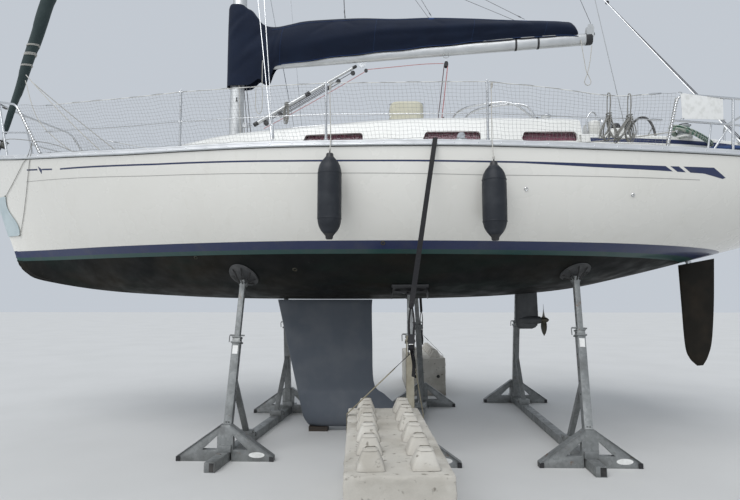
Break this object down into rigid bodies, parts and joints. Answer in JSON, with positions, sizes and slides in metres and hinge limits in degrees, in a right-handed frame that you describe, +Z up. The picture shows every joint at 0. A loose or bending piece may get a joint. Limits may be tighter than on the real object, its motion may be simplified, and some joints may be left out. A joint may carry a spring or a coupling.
{
  "type": "sailing yacht",
  "caption": "Fin keel sloop laid up ashore on props, with furled headsail, covered mainsail, wheel steering and saildrive.",
  "frame": {"origin": "on the ground under the middle of the forward keel block, on the boat's centreline", "axes": "+X aft along the boat, +Y to starboard, +Z up"},
  "size_m": [9.02, 7.5902, 16],
  "materials": {
    "gelcoat": "polished gelcoat",
    "keel_paint": "matt slate grey underwater paint",
    "rudder_paint": "worn dark underwater paint",
    "alloy": "satin anodised",
    "stainless": "polished stainless",
    "galvanised": "dull hot-dip zinc",
    "navy_cloth": "woven acrylic cover cloth",
    "sailcloth": "sun-faded sacrificial strip",
    "canvas": "beige canvas",
    "webbing": "polyester webbing",
    "fender_vinyl": "matt vinyl",
    "acrylic": "tinted acrylic",
    "black_plastic": "moulded",
    "engine_paint": "plain block",
    "bronze": "weathered bronze",
    "timber": "wet sawn timber",
    "concrete": "cast concrete"
  },
  "bodies": {
    "root": {"hull": "gelcoat", "deck": "gelcoat", "cockpit": "gelcoat", "toe_rail_port": "alloy", "toe_rail_starboard": "alloy", "windows_port": "acrylic", "windows_starboard": "acrylic", "washboard": "acrylic", "keel": "keel_paint", "saildrive": "alloy", "engine": "engine_paint", "mast": "alloy", "mast_cover": "navy_cloth", "furled_headsail": "sailcloth", "furler": "black_plastic", "backstay": "stainless", "shrouds_port": "stainless", "shrouds_starboard": "stainless", "pulpit": "stainless", "pushpit_port": "stainless", "pushpit_starboard": "stainless", "guardrail_port": "stainless", "guardrail_starboard": "stainless", "pedestal": "gelcoat", "sprayhood_frame": "stainless", "canvas_box": "canvas", "fender_forward": "fender_vinyl", "fender_aft": "fender_vinyl", "beam_front": "galvanised", "beam_middle": "galvanised", "beam_aft": "galvanised", "stand_port_front": "galvanised", "prop_port_front": "galvanised", "stand_starboard_front": "galvanised", "prop_starboard_front": "galvanised", "stand_port_middle": "galvanised", "prop_port_middle": "galvanised", "stand_starboard_middle": "galvanised", "prop_starboard_middle": "galvanised", "stand_port_aft": "galvanised", "prop_port_aft": "galvanised", "stand_starboard_aft": "galvanised", "prop_starboard_aft": "galvanised", "keel_block_fore": "timber", "keel_block_aft": "timber", "concrete_block_port": "concrete", "concrete_block_starboard": "concrete", "strap_port": "webbing", "strap_starboard": "webbing"},
    "rudder": {"rudder": "rudder_paint"},
    "propeller": {"propeller": "bronze"},
    "boom": {"boom": "alloy", "boom_cover": "navy_cloth", "vang": "alloy"},
    "steering_wheel": {"steering_wheel": "stainless"},
    "fore_hatch": {"fore_hatch": "acrylic"},
    "sliding_hatch": {"sliding_hatch": "gelcoat"},
    "locker_lid": {"locker_lid": "gelcoat"},
    "anchor_lid": {"anchor_lid": "gelcoat"}
  },
  "joints": [
    {"name": "wheel_turn", "type": "hinge", "parent": "root", "child": "steering_wheel", "pos_m": [3.82, 0, 3.2553], "axis": [1, 0, 0], "range_deg": [-200, 200]},
    {"name": "rudder_turn", "type": "hinge", "parent": "root", "child": "rudder", "pos_m": [4.33, 0, 1.9], "axis": [0, 0, 1], "range_deg": [-35.5, 35.5]},
    {"name": "propeller_spin", "type": "hinge", "parent": "root", "child": "propeller", "pos_m": [2.6, 0, 1.267], "axis": [1, 0, 0], "continuous": true},
    {"name": "boom_swing", "type": "hinge", "parent": "root", "child": "boom", "pos_m": [-0.92, 0, 4.4], "axis": [0, 0, 1], "range_deg": [-50, 50]},
    {"name": "fore_hatch_hinge", "type": "hinge", "parent": "root", "child": "fore_hatch", "pos_m": [-1.858, 0, 3.183], "axis": [0, -1, 0], "range_deg": [0, 100]},
    {"name": "hatch_slide", "type": "slide", "parent": "root", "child": "sliding_hatch", "axis": [-1, 0, 0], "range_m": [0, 0.52]},
    {"name": "locker_lid_hinge", "type": "hinge", "parent": "root", "child": "locker_lid", "pos_m": [3.5, -0.957, 2.832], "axis": [1, 0, 0], "range_deg": [0, 85]},
    {"name": "anchor_lid_hinge", "type": "hinge", "parent": "root", "child": "anchor_lid", "pos_m": [-3.07, 0, 3.14], "axis": [0, 1, 0], "range_deg": [0, 95]}
  ],
  "couplings": [
    {"joint": "rudder_turn", "follows": "wheel_turn", "ratio": 0.175}
  ]
}
